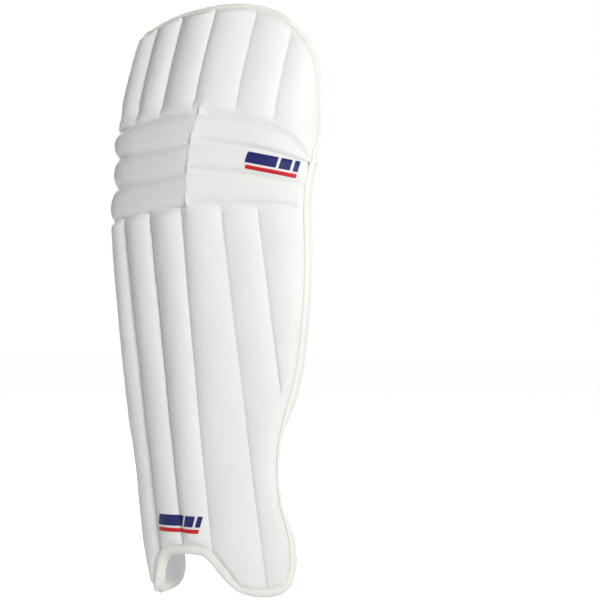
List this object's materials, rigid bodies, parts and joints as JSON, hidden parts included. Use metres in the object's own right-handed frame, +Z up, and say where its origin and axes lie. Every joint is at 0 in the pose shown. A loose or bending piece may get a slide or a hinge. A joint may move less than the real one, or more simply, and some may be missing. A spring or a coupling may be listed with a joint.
{
  "type": "cricket batting leg pad",
  "caption": "Ribbed shin and knee guard with bulging knee rolls, a flexing top hat, a padded back and fold-back webbing straps in plastic rings.",
  "frame": {"origin": "on the flat back of the shin panel, where it rests against the shin, midway between the two bolsters and 305 mm above the lowest point of the lobes", "axes": "+Z up the leg, +Y out of the shin panel towards the leg, +X towards the wing side"},
  "size_m": [0.3196, 0.1353, 0.7774],
  "materials": {
    "face": "satin grained polyurethane",
    "lining": "matt",
    "binding": "satin polyurethane tape",
    "foam": "open foam",
    "cane": "bare cane",
    "printed": "white with a blue print",
    "satin": "satin",
    "trim": "satin",
    "webbing": "ribbed weave with coloured stripes",
    "badge": "soft moulded",
    "ring": "moulded",
    "tab": "satin moulded",
    "hook": "hook and loop",
    "emblem": "print"
  },
  "bodies": {
    "shin_section": {"shin_cover": "face", "shin_foam": "foam", "shin_cane_1": "cane", "shin_cane_2": "cane", "shin_cane_3": "cane", "shin_cane_4": "cane", "shin_cane_5": "cane", "shin_cane_6": "cane", "shin_cane_7": "cane", "knee_roll_cover_lower": "face", "knee_roll_core_lower": "foam", "knee_roll_cover_middle": "face", "knee_roll_core_middle": "foam", "knee_roll_cover_upper": "face", "knee_roll_core_upper": "foam", "back_lining": "lining", "knee_lining": "lining", "edge_binding_left": "binding", "edge_binding_right": "binding", "instep_binding": "binding", "bolster_left": "printed", "bolster_trim_left": "trim", "bolster_right": "printed", "bolster_trim_right": "trim", "shin_panel": "satin", "knee_cup": "satin", "locator_gusset_left": "printed", "locator_gusset_right": "printed", "knee_emblem": "emblem", "instep_emblem": "emblem", "calf_anchor_left": "webbing", "calf_anchor_right": "webbing", "ankle_anchor_right": "webbing"},
    "top_hat": {"top_hat_cover": "face", "top_hat_foam": "foam", "top_hat_cane_1": "cane", "top_hat_cane_2": "cane", "top_hat_cane_3": "cane", "top_hat_cane_4": "cane", "top_hat_cane_5": "cane", "top_hat_cane_6": "cane", "top_hat_lining": "lining", "top_hat_binding": "binding", "knee_locator": "satin"},
    "calf_ring_left": {"calf_ring_left": "ring"},
    "calf_ring_right": {"calf_ring_right": "ring"},
    "calf_strap": {"calf_strap": "webbing"},
    "calf_flap": {"calf_flap": "webbing", "calf_badge": "badge", "calf_tab": "tab", "calf_tab_label": "badge", "calf_hook_patch": "hook"},
    "ankle_ring": {"ankle_ring_right": "ring"},
    "ankle_strap": {"ankle_strap": "webbing"},
    "ankle_flap": {"ankle_flap": "webbing", "ankle_badge": "badge", "ankle_tab": "tab", "ankle_tab_label": "badge", "ankle_hook_patch": "hook"}
  },
  "joints": [
    {"name": "knee_flex", "type": "hinge", "parent": "shin_section", "child": "top_hat", "pos_m": [0, 0.018, 0.32], "axis": [1, 0, 0], "range_deg": [-8, 9], "stiffness_Nm_per_rad": 8},
    {"name": "calf_ring_left_swing", "type": "hinge", "parent": "shin_section", "child": "calf_ring_left", "pos_m": [-0.1213, 0.07764, 0.109], "axis": [0, 0, 1], "range_deg": [-7, 7], "stiffness_Nm_per_rad": 0.1},
    {"name": "calf_strap_turn", "type": "hinge", "parent": "calf_ring_left", "child": "calf_strap", "pos_m": [-0.09977, 0.07316, 0.109], "axis": [0, 0, 1], "range_deg": [-7, 7]},
    {"name": "calf_ring_right_swing", "type": "hinge", "parent": "shin_section", "child": "calf_ring_right", "pos_m": [0.12487, 0.02634, 0.109], "axis": [0, 0, 1], "range_deg": [-7, 7]},
    {"name": "calf_flap_peel", "type": "hinge", "parent": "calf_strap", "child": "calf_flap", "pos_m": [0.09325, 0.0364, 0.109], "axis": [0, 0, -1], "range_deg": [0, 135]},
    {"name": "ankle_strap_lift", "type": "hinge", "parent": "shin_section", "child": "ankle_strap", "pos_m": [-0.10104, 0.09369, -0.133], "axis": [0, 0, 1], "range_deg": [0, 1], "stiffness_Nm_per_rad": 2},
    {"name": "ankle_ring_swing", "type": "hinge", "parent": "shin_section", "child": "ankle_ring", "pos_m": [0.09142, 0.02593, -0.133], "axis": [0, 0, 1], "range_deg": [-8.3, 0]},
    {"name": "ankle_flap_peel", "type": "hinge", "parent": "ankle_strap", "child": "ankle_flap", "pos_m": [0.06154, 0.04035, -0.133], "axis": [0, 0, -1], "range_deg": [0, 135]}
  ],
  "couplings": [
    {"joint": "calf_strap_turn", "follows": "calf_ring_left_swing", "ratio": -1},
    {"joint": "calf_ring_right_swing", "follows": "calf_ring_left_swing", "ratio": -1},
    {"joint": "ankle_ring_swing", "follows": "ankle_strap_lift", "ratio": -8.3}
  ]
}
